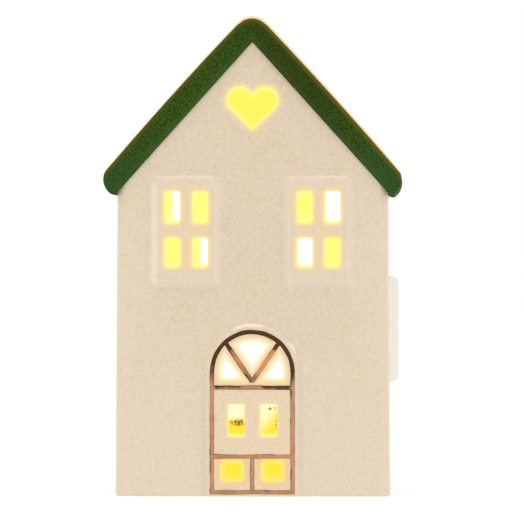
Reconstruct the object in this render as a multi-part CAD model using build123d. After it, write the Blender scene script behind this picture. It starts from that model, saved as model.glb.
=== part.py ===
from build123d import *

import os
from math import acos, atan2, cos, hypot, pi, radians, sin, tan

# A lit ceramic village house: a hollow glazed house on a glued-in battery light unit.
# Millimetres. +Z is up, the front faces -Y, and the origin is on the table under the middle of the house.

# House walls
WALL_WIDTH = 88.2
WALL_DEPTH = 72.0
WALL_THICK = 4.0
WALL_LEAN = 0.7
EAVE_HEIGHT = 97.2
WALL_CORNER_R = 3.5
CAVITY_CORNER_R = 1.5
BASE_EDGE_R = 0.9
RIM_R = 0.5

# Ledges in the corners inside the open foot of the walls; the light unit is glued under them on soft pads
LEDGE_SIZE = 11.0
LEDGE_THICK = 4.5
LEDGE_CORNER_R = 3.0
PAD_SIZE = 8.0
PAD_THICK = 0.8

# Roof slab
ROOF_PITCH = 48.0
ROOF_THICK = 7.4
ROOF_OVERHANG = 1.3
EAVE_OVERHANG = 1.1
ROOF_BOW = 0.65
RIDGE_R = 6.2
EAVE_TIP_R = 1.5
EAVE_END_FLAT = 0.2
FASCIA_R = 1.0

# Raised four-pane windows
WINDOW_WIDTH = 21.0
WINDOW_HEIGHT = 35.0
WINDOW_CORNER_R = 1.6
WINDOW_RELIEF = 0.9
RELIEF_TAPER = 50.0
COVE_R = 0.8
WINDOW_BELOW_EAVE = 12.1
WINDOW_FROM_WALL_EDGE = 11.7
SIDE_WINDOW_BELOW_EAVE = 44.0
RIGHT_SIDE_RELIEF = 3.0
RIGHT_SIDE_TAPER = 25.0
PANE_WIDTH = 5.2
UPPER_PANE_HEIGHT = 10.4
LOWER_PANE_HEIGHT = 9.6
PANE_CORNER_R = 1.3
PANE_BAR_WIDTH = 3.7
PANE_BAR_HEIGHT = 4.5

# Heart opening in the gable
HEART_BELOW_RIDGE = 18.5
HEART_LOBE_R = 4.35
HEART_LOBE_OFFSET = 4.0
HEART_TIP_DROP = 9.8
HEART_TIP_R = 1.1
HEART_NOTCH_R = 0.7

# Arched door
DOOR_WIDTH = 27.2
DOOR_SPRING_HEIGHT = 39.7
DOOR_SLAB_MARGIN = 2.0
DOOR_RELIEF = 0.9
FAN_INSET = 3.7
FAN_BAR_WIDTH = 5.4
FAN_CORNER_R = 1.3
FAN_SPREAD = 69.0
FAN_RAIL_BELOW_SPRING = 4.9
FAN_POINT_GAP = 1.9
FAN_SILL_GAP = 2.6
LOCK_RAIL_HEIGHT = 12.8
DOOR_PANE_WIDTH = 5.3
DOOR_PANE_CORNER_R = 0.8
DOOR_PANE_X = 5.2
DOOR_PANE_RAIL_GAP = 5.3
DOOR_PANE_SILL_GAP = 6.3
DOOR_PANEL_WIDTH = 6.8
DOOR_PANEL_CORNER_R = 1.2
DOOR_PANEL_X = 6.5
DOOR_PANEL_RAIL_GAP = 1.5
DOOR_PANEL_FOOT_GAP = 5.1

# Lustre lines brushed on the door
LINE_WIDTH = 1.35
LINE_THICK = 0.2
LINE_FOOT_GAP = 0.65

# Light films glued behind the openings
FILM_THICK = 0.3
FILM_MARGIN = 1.6

# Battery cells and their contacts
CELL_DIA = 10.5
CELL_LENGTH = 44.5
CELL_NUB_DIA = 3.8
CELL_NUB_LENGTH = 1.0
CELL_EDGE_R = 0.6
CELL_GAP = 1.2
BAY_CLEAR = 0.3
CONTACT_THICK = 0.4
CONTACT_SIZE = 9.0
LUG_WIDTH = 3.0
LUG_HEIGHT = 2.0
LUG_CLEAR = 0.1
SPRING_LENGTH = 5.0
SPRING_WIRE = 0.6
SPRING_ROOT_R = 3.7
SPRING_TIP_R = 2.3
SPRING_TURNS = 4
SPRING_ARCS_PER_TURN = 4

# Light unit: a base plate that closes the foot of the house, with a battery tub on it
UNIT_WALL = 1.5
SWITCH_POCKET_WIDTH = 11.0
UNIT_CORNER_R = 2.5
PLATE_THICK = 1.8
PLATE_CLEAR = 0.5

# Battery door and its hinge
DOOR_GROUND_GAP = 1.0
COVER_THICK = 1.6
COVER_SEAT_GAP = 0.1
COVER_SIDE_LAP = 1.8
HINGE_PIN_DIA = 1.0
HINGE_BARREL_DIA = 2.2
HINGE_BORE_CLEAR = 0.05
HINGE_FROM_BAY = 3.0
HINGE_EDGE_GAP = 0.35
HINGE_LUG_WIDTH = 4.0
HINGE_LUG_SPAN = 48.0
PEG_DIA = 2.0
PEG_HEIGHT = 1.4
PEG_HOLE_CLEAR = 0.3
PEG_SPREAD = 32.0
PEG_FROM_BAY = 2.6
PEG_TO_EDGE = 2.0
GRIP_RIB = (12.0, 0.8, 0.3)
GRIP_RIB_PITCH = 1.8
GRIP_RIB_COUNT = 3

# Slide switch
SWITCH_X = -8.0
SWITCH_CAN = (10.4, 5.6, 4.6)
SWITCH_SHEET = 0.5
SWITCH_TRAVEL = 3.0
SWITCH_CLEAR = 0.2
KNOB_STUB = (3.2, 2.4)
KNOB_PLATE = (5.2, 4.2, 1.2)
KNOB_GROUND_GAP = 1.3
KNOB_GROOVE = 0.4
SWITCH_LUG = (1.0, 0.5, 2.0)
SWITCH_LUG_PITCH = 3.0
SWITCH_RIB = (1.2, 3.0)

# Light board
BOARD = (38.0, 17.0, 1.6)
BOARD_STANDOFF = 2.5
BOSS_DIA = 5.0
SCREW_SPREAD = 30.0
SCREW_SHANK_DIA = 1.7
SCREW_HEAD_DIA = 3.6
SCREW_HEAD_HEIGHT = 1.3
SCREW_LENGTH = 4.6
SCREW_HOLE_CLEAR = 0.25
SCREW_PILOT_CLEAR = 0.03
SCREW_SLOT = (0.6, 0.5)
LED_DIA = 5.0
LED_BODY_HEIGHT = 5.2
LED_RIM_DIA = 5.8
LED_RIM_HEIGHT = 1.0
LED_PITCH = 8.5
LED_COUNT = 3
LED_LEG = 0.5
LED_LEG_PITCH = 2.54
LED_LEG_BELOW = 1.3
LED_HOLE_DIA = 1.0
CHIP = (3.2, 1.6, 0.6)
CHIP_END = 0.5
CHIP_FROM_EDGE = 2.4

# Insulated leads
LEAD_DIA = 1.1
LEAD_BEND_R = 1.8
LEAD_OVER_BOARD = 2.6
LEAD_PAD_INSET = 1.6
LEAD_RUN_OUT = 2.9
LEAD_RUN_LIFT = 3.2

# How near two places are when they count as the same
TOUCH = 0.01

# Places worked out from the sizes above
slope = tan(radians(ROOF_PITCH))
eave_width = WALL_WIDTH - 2 * WALL_LEAN
ridge_under = EAVE_HEIGHT + eave_width / 2 * slope
front_y = -WALL_DEPTH / 2
inner_front_y = front_y + WALL_THICK
cover_top = DOOR_GROUND_GAP + COVER_THICK
plate_bottom = cover_top + COVER_SEAT_GAP
plate_top = plate_bottom + PLATE_THICK
ledge_bottom = plate_top + PAD_THICK
cavity_width = eave_width - 2 * WALL_THICK
cavity_depth = WALL_DEPTH - 2 * WALL_THICK
cell_z = cover_top + BAY_CLEAR + CELL_DIA / 2
bay_ceiling = cell_z + CELL_DIA / 2 + BAY_CLEAR
tub_top = bay_ceiling + UNIT_WALL
bay_length = CELL_LENGTH + SPRING_LENGTH + 2 * CONTACT_THICK
cell_pitch = CELL_DIA + CELL_GAP
bay_width = cell_pitch + CELL_DIA + 2 * BAY_CLEAR
tub_length = bay_length + 2 * UNIT_WALL
tub_width = bay_width + SWITCH_POCKET_WIDTH + 3 * UNIT_WALL
bay_front_y = -tub_width / 2 + UNIT_WALL
bay_back_y = bay_front_y + bay_width
bay_y = (bay_front_y + bay_back_y) / 2
pocket_y = bay_back_y + UNIT_WALL + SWITCH_POCKET_WIDTH / 2
barrel_r = HINGE_BARREL_DIA / 2
hinge_y = bay_front_y - HINGE_FROM_BAY
hinge_z = cover_top - barrel_r
cover_edge_y = bay_back_y + PEG_FROM_BAY + PEG_TO_EDGE
board_bottom = tub_top + BOARD_STANDOFF
board_top = board_bottom + BOARD[2]
door_r = DOOR_WIDTH / 2
fan_rail_z = DOOR_SPRING_HEIGHT - FAN_RAIL_BELOW_SPRING
eave_top_r = ROOF_THICK - EAVE_TIP_R - EAVE_END_FLAT
window_x = eave_width / 2 - WINDOW_FROM_WALL_EDGE - WINDOW_WIDTH / 2
window_z = EAVE_HEIGHT - WINDOW_BELOW_EAVE
side_window_z = EAVE_HEIGHT - SIDE_WINDOW_BELOW_EAVE
side_window_x = WALL_WIDTH / 2 - WALL_LEAN * side_window_z / EAVE_HEIGHT
heart_z = ridge_under - HEART_BELOW_RIDGE

# Planes on the outer wall faces, each with its own x across, y up and z out of the wall
FRONT = Plane(origin=(0, front_y, 0), x_dir=(1, 0, 0), z_dir=(0, -1, 0))
RIGHT = Plane(origin=(side_window_x, 0, 0), x_dir=(0, 1, 0), z_dir=(1, 0, 0))
LEFT = Plane(origin=(-side_window_x, 0, 0), x_dir=(0, -1, 0), z_dir=(-1, 0, 0))


def block(x_span, y_span, z_span):
    """A box between two values on each axis."""
    low = (x_span[0], y_span[0], z_span[0])
    size = (x_span[1] - x_span[0], y_span[1] - y_span[0], z_span[1] - z_span[0])
    corner = (Align.MIN, Align.MIN, Align.MIN)
    return Pos(*low) * Box(*size, align=corner)


def rounded_block(length, width, radius, z_span):
    """An upright rounded-rectangle prism about the Z axis."""
    outline = Pos(0, 0, z_span[0]) * RectangleRounded(length, width, radius)
    return extrude(outline, amount=z_span[1] - z_span[0])


def post(x, y, dia, z_span):
    """An upright round post."""
    return Pos(x, y, z_span[0]) * extrude(Circle(dia / 2), amount=z_span[1] - z_span[0])


def bar_along_x(y, z, radius, x_span):
    """A round bar along X."""
    place = Plane(origin=(x_span[0], y, z), z_dir=(1, 0, 0))
    return extrude(place * Circle(radius), amount=x_span[1] - x_span[0])


# Outlines drawn on a wall face


def pane_outlines():
    """The four panes of one window about the crossing of its bars."""
    x = (PANE_WIDTH + PANE_BAR_WIDTH) / 2
    panes = []
    for row, height in ((1, UPPER_PANE_HEIGHT), (-1, LOWER_PANE_HEIGHT)):
        pane = RectangleRounded(PANE_WIDTH, height, PANE_CORNER_R)
        y = row * (PANE_BAR_HEIGHT + height) / 2
        panes += [Pos(side * x, y) * pane for side in (-1, 1)]
    return Sketch() + panes


def heart_outline():
    """A heart about the middle of its lobes: two round lobes, and sides that leave them as tangents."""
    reach = hypot(HEART_LOBE_OFFSET, HEART_TIP_DROP)
    to_tip = atan2(-HEART_TIP_DROP, -HEART_LOBE_OFFSET)
    angle = to_tip + acos(HEART_LOBE_R / reach)
    touch_x = HEART_LOBE_OFFSET + HEART_LOBE_R * cos(angle)
    touch_y = HEART_LOBE_R * sin(angle)
    tip = (0, -HEART_TIP_DROP)
    sides = make_face(Polyline((-touch_x, touch_y), (0, 0), (touch_x, touch_y), tip, close=True))
    lobes = [Pos(side * HEART_LOBE_OFFSET, 0) * Circle(HEART_LOBE_R) for side in (-1, 1)]
    heart = Sketch() + [sides, *lobes]
    on_middle = heart.vertices().filter_by(lambda v: abs(v.X) < TOUCH).sort_by(Axis.Y)
    heart = fillet(on_middle[-1], HEART_NOTCH_R)
    tips = heart.vertices().sort_by(Axis.Y)
    return fillet(tips[0], HEART_TIP_R)


def arch_outline(half_width, foot):
    """A door shape: upright sides from the foot, with a half-round head at the spring line."""
    height = DOOR_SPRING_HEIGHT - foot
    upright = Pos(0, foot + height / 2) * Rectangle(2 * half_width, height)
    return upright + Pos(0, DOOR_SPRING_HEIGHT) * Circle(half_width)


def fan_bars(width):
    """The two slanting bars of the fanlight, as bands of one width."""
    length = 2 * DOOR_WIDTH
    band = Pos(length / 2, 0) * Rectangle(length, width)
    rise = 90 - FAN_SPREAD / 2
    point = Pos(0, fan_rail_z + FAN_POINT_GAP)
    return [point * Rot(0, 0, angle) * band for angle in (rise, 180 - rise)]


def fan_outlines():
    """The three fanlight openings: a half disc parted by the slanting bars."""
    sill = fan_rail_z + FAN_SILL_GAP
    disc = Pos(0, DOOR_SPRING_HEIGHT) * Circle(door_r - FAN_INSET)
    above_sill = Pos(0, sill + DOOR_WIDTH / 2) * Rectangle(DOOR_WIDTH, DOOR_WIDTH)
    lights = (disc & above_sill) - fan_bars(FAN_BAR_WIDTH)
    return fillet(lights.vertices(), FAN_CORNER_R)


def side_pair(x, width, span, corner_r):
    """One rounded opening on each side of the door's middle line, between two heights."""
    outline = RectangleRounded(width, span[1] - span[0], corner_r)
    return Sketch() + [Pos(side * x, (span[0] + span[1]) / 2) * outline for side in (-1, 1)]


def door_pane_outlines():
    """The two tall panes between the door's rails."""
    span = (LOCK_RAIL_HEIGHT + DOOR_PANE_SILL_GAP, fan_rail_z - DOOR_PANE_RAIL_GAP)
    return side_pair(DOOR_PANE_X, DOOR_PANE_WIDTH, span, DOOR_PANE_CORNER_R)


def door_panel_outlines():
    """The two openings in the door's bottom panels."""
    span = (DOOR_PANEL_FOOT_GAP, LOCK_RAIL_HEIGHT - DOOR_PANEL_RAIL_GAP)
    return side_pair(DOOR_PANEL_X, DOOR_PANEL_WIDTH, span, DOOR_PANEL_CORNER_R)


def raised_slab(outline, holes, relief, taper):
    """A slab rooted half way into a wall, with sloping sides, its holes and softened front edges."""
    root = WALL_THICK / 2
    slab = extrude(outline, amount=relief, taper=taper)
    slab += Pos(0, 0, -root) * extrude(outline, amount=root)
    slab -= Pos(0, 0, -root) * extrude(holes, amount=root + relief)
    return fillet(slab.faces().sort_by(Axis.Z)[-1].edges(), RIM_R)


def through_wall(holes):
    """The cutter that takes holes through a wall, from its outer face inwards."""
    return Pos(0, 0, -2 * WALL_THICK) * extrude(holes, amount=3 * WALL_THICK)


# Ceramic


def with_cove(walls, outline):
    """The walls with a soft cove along the foot of the raised slab of that outline on the front."""
    rim = (FRONT * outline).wire()
    return fillet(walls.edges().filter_by(lambda edge: rim.distance_to(edge @ 0.5) < TOUCH), COVE_R)


def window_places():
    """Where each window stands: its name, its wall's plane and its centre on that plane."""
    return [
        ("left_window", FRONT, (-window_x, window_z)),
        ("right_window", FRONT, (window_x, window_z)),
        ("left_side_window", LEFT, (0, side_window_z)),
        ("right_side_window", RIGHT, (0, side_window_z)),
    ]


def wall_block():
    """The outside of the walls, up past the ridge: the side walls lean in a little towards the eaves."""
    foot = RectangleRounded(WALL_WIDTH, WALL_DEPTH, WALL_CORNER_R)
    lean = 2 * WALL_LEAN * ridge_under / EAVE_HEIGHT
    head = Pos(0, 0, ridge_under) * RectangleRounded(WALL_WIDTH - lean, WALL_DEPTH, WALL_CORNER_R)
    walls = loft([foot, head], ruled=True)
    return fillet(walls.faces().sort_by(Axis.Z)[0].edges(), BASE_EDGE_R)


def under_roof():
    """All the room under the slopes of the roof, run from front to back past the walls."""
    low = ridge_under - WALL_WIDTH * slope
    corners = [(-WALL_WIDTH, low), (0, ridge_under), (WALL_WIDTH, low)]
    corners += [(WALL_WIDTH, -ridge_under), (-WALL_WIDTH, -ridge_under)]
    face = Plane.XZ.offset(-WALL_DEPTH) * make_face(Polyline(*corners, close=True))
    return extrude(face, amount=2 * WALL_DEPTH)


def make_house_shell():
    walls = wall_block() & under_roof()
    walls -= rounded_block(cavity_width, cavity_depth, CAVITY_CORNER_R, (-ridge_under, 2 * ridge_under))
    across = cavity_width - LEDGE_SIZE + WALL_THICK / 2
    along = cavity_depth - LEDGE_SIZE + WALL_THICK / 2
    side = LEDGE_SIZE + WALL_THICK / 2
    rise = (ledge_bottom, ledge_bottom + LEDGE_THICK)
    for place in GridLocations(across, along, 2, 2):
        walls += place * rounded_block(side, side, LEDGE_CORNER_R, rise)

    heart = Pos(0, heart_z) * heart_outline()
    walls -= FRONT * through_wall(heart)
    middle = Vector(0, front_y, heart_z)
    near = HEART_LOBE_OFFSET + HEART_LOBE_R + HEART_TIP_DROP
    on_front = walls.edges().filter_by(lambda e: abs(e.center().Y - front_y) < TOUCH)
    walls = fillet(on_front.filter_by(lambda e: (e.center() - middle).length < near), RIM_R)

    panes = pane_outlines()
    frame = RectangleRounded(WINDOW_WIDTH, WINDOW_HEIGHT, WINDOW_CORNER_R)
    low_slab = raised_slab(frame, panes, WINDOW_RELIEF, RELIEF_TAPER)
    proud_slab = raised_slab(frame, panes, RIGHT_SIDE_RELIEF, RIGHT_SIDE_TAPER)
    for _, plane, centre in window_places():
        on_wall = plane * Pos(*centre)
        walls -= on_wall * through_wall(panes)
        walls += on_wall * (proud_slab if plane is RIGHT else low_slab)
        if plane is FRONT:
            walls = with_cove(walls, Pos(*centre) * frame)

    openings = Sketch() + [fan_outlines(), door_pane_outlines(), door_panel_outlines()]
    door = arch_outline(door_r + DOOR_SLAB_MARGIN, -2 * DOOR_RELIEF)
    walls -= FRONT * through_wall(openings)
    walls += FRONT * raised_slab(door, openings, DOOR_RELIEF, RELIEF_TAPER)
    reach = (-WALL_WIDTH, WALL_WIDTH)
    return walls - block(reach, reach, (-WALL_WIDTH, 0))


def make_roof():
    """The roof slab: straight beneath, where it lies on the walls, and slightly bowed on top."""
    along = Vector(cos(radians(ROOF_PITCH)), 0, -sin(radians(ROOF_PITCH)))
    out = Vector(sin(radians(ROOF_PITCH)), 0, cos(radians(ROOF_PITCH)))
    reach = (eave_width / 2 + EAVE_OVERHANG) / along.X
    under_ridge = Vector(0, 0, ridge_under)
    top_ridge = under_ridge + Vector(0, 0, ROOF_THICK / out.Z)
    tip = under_ridge + along * reach
    brow = tip + out * ROOF_THICK
    middle = (top_ridge + brow) / 2 + out * ROOF_BOW
    half = [Line(under_ridge, tip), Line(tip, brow), ThreePointArc(brow, middle, top_ridge)]
    outline = half + [mirror(edge, about=Plane.YZ) for edge in half]
    face = make_face(outline)
    length = WALL_DEPTH + 2 * ROOF_OVERHANG
    slab = extrude(Pos(0, length / 2, 0) * face, amount=length, dir=(0, -1, 0))

    corners = [(top_ridge, RIDGE_R)]
    for side in (-1, 1):
        corners.append((Vector(side * brow.X, 0, brow.Z), eave_top_r))
        corners.append((Vector(side * tip.X, 0, tip.Z), EAVE_TIP_R))
    for point, radius in corners:
        long_edges = slab.edges().filter_by(Axis.Y)
        slab = fillet(long_edges.sort_by_distance(point)[0], radius)
    rims = [*slab.faces().sort_by(Axis.Y)[0].edges(), *slab.faces().sort_by(Axis.Y)[-1].edges()]
    return fillet([rim for rim in rims if not on_underside(rim)], FASCIA_R)


def on_underside(edge):
    """True for an edge along the roof's underside."""
    middle = edge.center()
    return abs(middle.Z + abs(middle.X) * slope - ridge_under) < TOUCH


def make_door_lustre():
    """The brushed lines that draw the door: its arch, rails, stile and fanlight bars."""
    ring = arch_outline(door_r, LINE_FOOT_GAP)
    ring -= arch_outline(door_r - LINE_WIDTH, LINE_FOOT_GAP + LINE_WIDTH)
    rail = Rectangle(DOOR_WIDTH - LINE_WIDTH, LINE_WIDTH)
    rails = [Pos(0, height) * rail for height in (fan_rail_z, LOCK_RAIL_HEIGHT)]
    stile_height = LOCK_RAIL_HEIGHT - LINE_FOOT_GAP
    stile = Pos(0, LINE_FOOT_GAP + stile_height / 2) * Rectangle(LINE_WIDTH, stile_height)
    inside = arch_outline(door_r - LINE_WIDTH / 2, LINE_FOOT_GAP)
    bars = [band & inside for band in fan_bars(LINE_WIDTH)]
    lines = Sketch() + [ring, *rails, stile, *bars]
    return FRONT * Pos(0, 0, DOOR_RELIEF) * extrude(lines, amount=LINE_THICK)


# Light films


def film(plane, holes, depth):
    """A rectangle of film on the inside of a wall that deep, covering the holes and a margin round them."""
    box = holes.bounding_box()
    outline = Rectangle(box.size.X + 2 * FILM_MARGIN, box.size.Y + 2 * FILM_MARGIN)
    sheet = extrude(outline, amount=FILM_THICK)
    return plane * Pos(box.center().X, box.center().Y, -depth - FILM_THICK) * sheet


def make_films():
    panes = pane_outlines()
    films = {}
    for name, plane, centre in window_places():
        depth = WALL_THICK if plane is FRONT else side_window_x - cavity_width / 2
        films[f"{name}_film"] = film(plane, Pos(*centre) * panes, depth)
    front_holes = {
        "heart_film": Pos(0, heart_z) * heart_outline(),
        "fanlight_film": fan_outlines(),
        "door_pane_film": door_pane_outlines(),
        "door_panel_film": door_panel_outlines(),
    }
    for name, holes in front_holes.items():
        films[name] = film(FRONT, holes, WALL_THICK)
    return films


# Light unit


def cell_rows():
    """Each cell's name and y, and the end that its negative faces: -1 for the left, 1 for the right."""
    return [("front", bay_y - cell_pitch / 2, -1), ("rear", bay_y + cell_pitch / 2, 1)]


def make_cell(y, negative_end):
    """A cylindrical cell with its nub, its negative end against the spring."""
    can_length = CELL_LENGTH - CELL_NUB_LENGTH
    can = fillet(extrude(Circle(CELL_DIA / 2), amount=can_length).edges(), CELL_EDGE_R)
    cell = can + Pos(0, 0, can_length) * extrude(Circle(CELL_NUB_DIA / 2), amount=CELL_NUB_LENGTH)
    start = negative_end * (bay_length / 2 - CONTACT_THICK - SPRING_LENGTH)
    return Plane(origin=(start, y, cell_z), z_dir=(-negative_end, 0, 0)) * cell


def contact_lug(y, end):
    """A terminal's solder lug, up through the ceiling of the bay."""
    inner = end * (bay_length / 2 - CONTACT_THICK)
    x_span = sorted((inner, end * bay_length / 2))
    return block(x_span, (y - LUG_WIDTH / 2, y + LUG_WIDTH / 2), (cell_z, tub_top + LUG_HEIGHT))


def contact_plate(y_span, end):
    inner = end * (bay_length / 2 - CONTACT_THICK)
    x_span = sorted((inner, end * bay_length / 2))
    return block(x_span, y_span, (cell_z - CONTACT_SIZE / 2, cell_z + CONTACT_SIZE / 2))


def make_terminal(y):
    """One of the two end terminals at the left of the bay."""
    plate = contact_plate((y - CONTACT_SIZE / 2, y + CONTACT_SIZE / 2), -1)
    return plate + contact_lug(y, -1)


def make_bridge():
    """The plate at the right of the bay that joins the two cells."""
    rows = [y for _, y, _ in cell_rows()]
    return contact_plate((min(rows) - CONTACT_SIZE / 2, max(rows) + CONTACT_SIZE / 2), 1)


def make_spring(y, end):
    """A conical coil from the contact plate to the cell, wound in short arcs."""
    arcs = SPRING_TURNS * SPRING_ARCS_PER_TURN
    rise = SPRING_LENGTH - SPRING_WIRE

    def at(step):
        share = step / arcs
        angle = 2 * pi * step / SPRING_ARCS_PER_TURN
        radius = SPRING_ROOT_R + (SPRING_TIP_R - SPRING_ROOT_R) * share
        return (radius * cos(angle), radius * sin(angle), SPRING_WIRE / 2 + rise * share)

    path = Wire([ThreePointArc(at(i), at(i + 0.5), at(i + 1)) for i in range(arcs)])
    section = Plane(origin=path @ 0, z_dir=path % 0) * Circle(SPRING_WIRE / 2)
    coil = sweep(section, path=path)
    seat = end * (bay_length / 2 - CONTACT_THICK)
    return Plane(origin=(seat, y, cell_z), z_dir=(-end, 0, 0)) * coil


def knob_slot():
    """The length and width of the slot that the switch's knob slides in."""
    return KNOB_STUB[0] + SWITCH_TRAVEL + 2 * SWITCH_CLEAR, KNOB_STUB[1] + 2 * SWITCH_CLEAR


def make_unit_housing():
    body = rounded_block(tub_length, tub_width, UNIT_CORNER_R, (plate_bottom, tub_top))
    plate = (cavity_width - 2 * PLATE_CLEAR, cavity_depth - 2 * PLATE_CLEAR)
    body += rounded_block(*plate, CAVITY_CORNER_R, (plate_bottom, plate_top))
    bay_x = (-bay_length / 2, bay_length / 2)
    body -= block(bay_x, (bay_front_y, bay_back_y), (0, bay_ceiling))
    pocket_half = SWITCH_POCKET_WIDTH / 2
    body -= block(bay_x, (pocket_y - pocket_half, pocket_y + pocket_half), (plate_top, 2 * tub_top))

    body -= Pos(SWITCH_X, pocket_y, plate_bottom) * Box(*knob_slot(), 3 * PLATE_THICK)
    for side in (-1, 1):
        rib_x = SWITCH_X + side * (SWITCH_CAN[0] / 2 + SWITCH_RIB[0] / 2)
        span = (rib_x - SWITCH_RIB[0] / 2, rib_x + SWITCH_RIB[0] / 2)
        half = SWITCH_CAN[1] / 2
        body += block(span, (pocket_y - half, pocket_y + half), (plate_top, plate_top + SWITCH_RIB[1]))

    for _, y, _ in cell_rows():
        half = LUG_WIDTH / 2 + LUG_CLEAR
        slot = (-bay_length / 2, -bay_length / 2 + CONTACT_THICK + LUG_CLEAR)
        body -= block(slot, (y - half, y + half), (bay_ceiling - UNIT_WALL, 2 * tub_top))

    pilot = SCREW_SHANK_DIA + 2 * SCREW_PILOT_CLEAR
    for side in (-1, 1):
        x = side * SCREW_SPREAD / 2
        body += post(x, bay_y, BOSS_DIA, (tub_top - UNIT_WALL / 2, board_bottom))
        body -= post(x, bay_y, pilot, (board_top - SCREW_LENGTH, 2 * board_bottom))

    peg_y = bay_back_y + PEG_FROM_BAY
    peg_hole = PEG_DIA + 2 * PEG_HOLE_CLEAR
    for side in (-1, 1):
        body -= post(side * PEG_SPREAD / 2, peg_y, peg_hole, (0, plate_top + PLATE_THICK))

    outer = HINGE_LUG_SPAN / 2
    for span in ((-outer, HINGE_LUG_WIDTH - outer), (outer - HINGE_LUG_WIDTH, outer)):
        body += bar_along_x(hinge_y, hinge_z, barrel_r, span)
        body += block(span, (hinge_y - barrel_r, hinge_y + barrel_r), (hinge_z, plate_top))
    return body - bar_along_x(hinge_y, hinge_z, HINGE_PIN_DIA / 2, (-outer, outer))


def make_hinge_pin():
    return bar_along_x(hinge_y, hinge_z, HINGE_PIN_DIA / 2, (-HINGE_LUG_SPAN / 2, HINGE_LUG_SPAN / 2))


def make_battery_door():
    half_x = bay_length / 2 + COVER_SIDE_LAP
    span_z = (DOOR_GROUND_GAP, cover_top)
    wide_from = hinge_y + barrel_r + HINGE_EDGE_GAP
    barrel_half = HINGE_LUG_SPAN / 2 - HINGE_LUG_WIDTH - HINGE_EDGE_GAP
    cover = block((-half_x, half_x), (wide_from, cover_edge_y), span_z)
    cover += block((-barrel_half, barrel_half), (hinge_y, wide_from), span_z)
    cover += bar_along_x(hinge_y, hinge_z, barrel_r, (-barrel_half, barrel_half))
    bore_r = HINGE_PIN_DIA / 2 + HINGE_BORE_CLEAR
    cover -= bar_along_x(hinge_y, hinge_z, bore_r, (-barrel_half, barrel_half))
    corners = cover.edges().filter_by(Axis.Z).group_by(Axis.Y)[-1]
    cover = fillet(corners, COVER_THICK)
    for side in (-1, 1):
        peg = (cover_top, cover_top + PEG_HEIGHT)
        cover += post(side * PEG_SPREAD / 2, bay_back_y + PEG_FROM_BAY, PEG_DIA, peg)
    length, width, height = GRIP_RIB
    for i in range(GRIP_RIB_COUNT):
        y = cover_edge_y - PEG_TO_EDGE - i * GRIP_RIB_PITCH
        rib_y = (y - width / 2, y + width / 2)
        cover += block((-length / 2, length / 2), rib_y, (DOOR_GROUND_GAP - height, DOOR_GROUND_GAP))
    return cover


def make_base_pads():
    """The four soft pads that glue the base plate under the corner ledges."""
    centre_x = (cavity_width - LEDGE_SIZE) / 2
    centre_y = (cavity_depth - LEDGE_SIZE) / 2
    pad = Box(PAD_SIZE, PAD_SIZE, PAD_THICK, align=(Align.CENTER, Align.CENTER, Align.MIN))
    return [Pos(0, 0, plate_top) * place * pad for place in GridLocations(2 * centre_x, 2 * centre_y, 2, 2)]


def make_switch_body():
    """The folded metal can of the slide switch, with its three lugs."""
    length, width, height = SWITCH_CAN
    can = Box(length, width, height, align=(Align.CENTER, Align.CENTER, Align.MIN))
    room = Box(length - 2 * SWITCH_SHEET, width - 2 * SWITCH_SHEET, height - 2 * SWITCH_SHEET)
    can -= Pos(0, 0, height / 2) * room
    can -= Box(*knob_slot(), 3 * SWITCH_SHEET)
    lug = Box(*SWITCH_LUG, align=(Align.CENTER, Align.CENTER, Align.MIN))
    for i in (-1, 0, 1):
        can += Pos(i * SWITCH_LUG_PITCH, 0, height) * lug
    return Pos(SWITCH_X, pocket_y, plate_top) * can


def make_switch_knob():
    """The sliding knob, drawn at ON: a plate inside the can and a grooved stub through the base plate."""
    seat = plate_top + SWITCH_SHEET + SWITCH_CLEAR / 2
    x = SWITCH_X + SWITCH_TRAVEL / 2
    length, width, height = KNOB_PLATE
    knob = Pos(x, pocket_y, seat + height / 2) * Box(length, width, height)
    stub_x, stub_y = KNOB_STUB
    across = (pocket_y - stub_y / 2, pocket_y + stub_y / 2)
    knob += block((x - stub_x / 2, x + stub_x / 2), across, (KNOB_GROUND_GAP, seat))
    for offset in (-stub_x / 4, 0, stub_x / 4):
        groove = (x + offset - KNOB_GROOVE / 2, x + offset + KNOB_GROOVE / 2)
        knob -= block(groove, across, (0, KNOB_GROUND_GAP + KNOB_GROOVE))
    return knob


def led_places():
    """The x of each light on the board."""
    return [(i - (LED_COUNT - 1) / 2) * LED_PITCH for i in range(LED_COUNT)]


def make_board():
    board = Pos(0, bay_y, board_bottom + BOARD[2] / 2) * Box(*BOARD)
    span = (0, 2 * board_top)
    for side in (-1, 1):
        board -= post(side * SCREW_SPREAD / 2, bay_y, SCREW_SHANK_DIA + 2 * SCREW_HOLE_CLEAR, span)
        for x in led_places():
            board -= post(x, bay_y + side * LED_LEG_PITCH / 2, LED_HOLE_DIA, span)
    return board


def make_leds():
    """The lights on the board, each with its lens, rim and two legs."""
    lens = extrude(Circle(LED_DIA / 2), amount=LED_BODY_HEIGHT)
    lens += Pos(0, 0, LED_BODY_HEIGHT) * Sphere(LED_DIA / 2)
    light = lens + extrude(Circle(LED_RIM_DIA / 2), amount=LED_RIM_HEIGHT)
    leg_length = BOARD[2] + LED_LEG_BELOW
    leg = Pos(0, 0, -leg_length / 2) * Box(LED_LEG, LED_LEG, leg_length)
    for side in (-1, 1):
        light += Pos(0, side * LED_LEG_PITCH / 2, 0) * leg
    return [Pos(x, bay_y, board_top) * light for x in led_places()]


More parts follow.
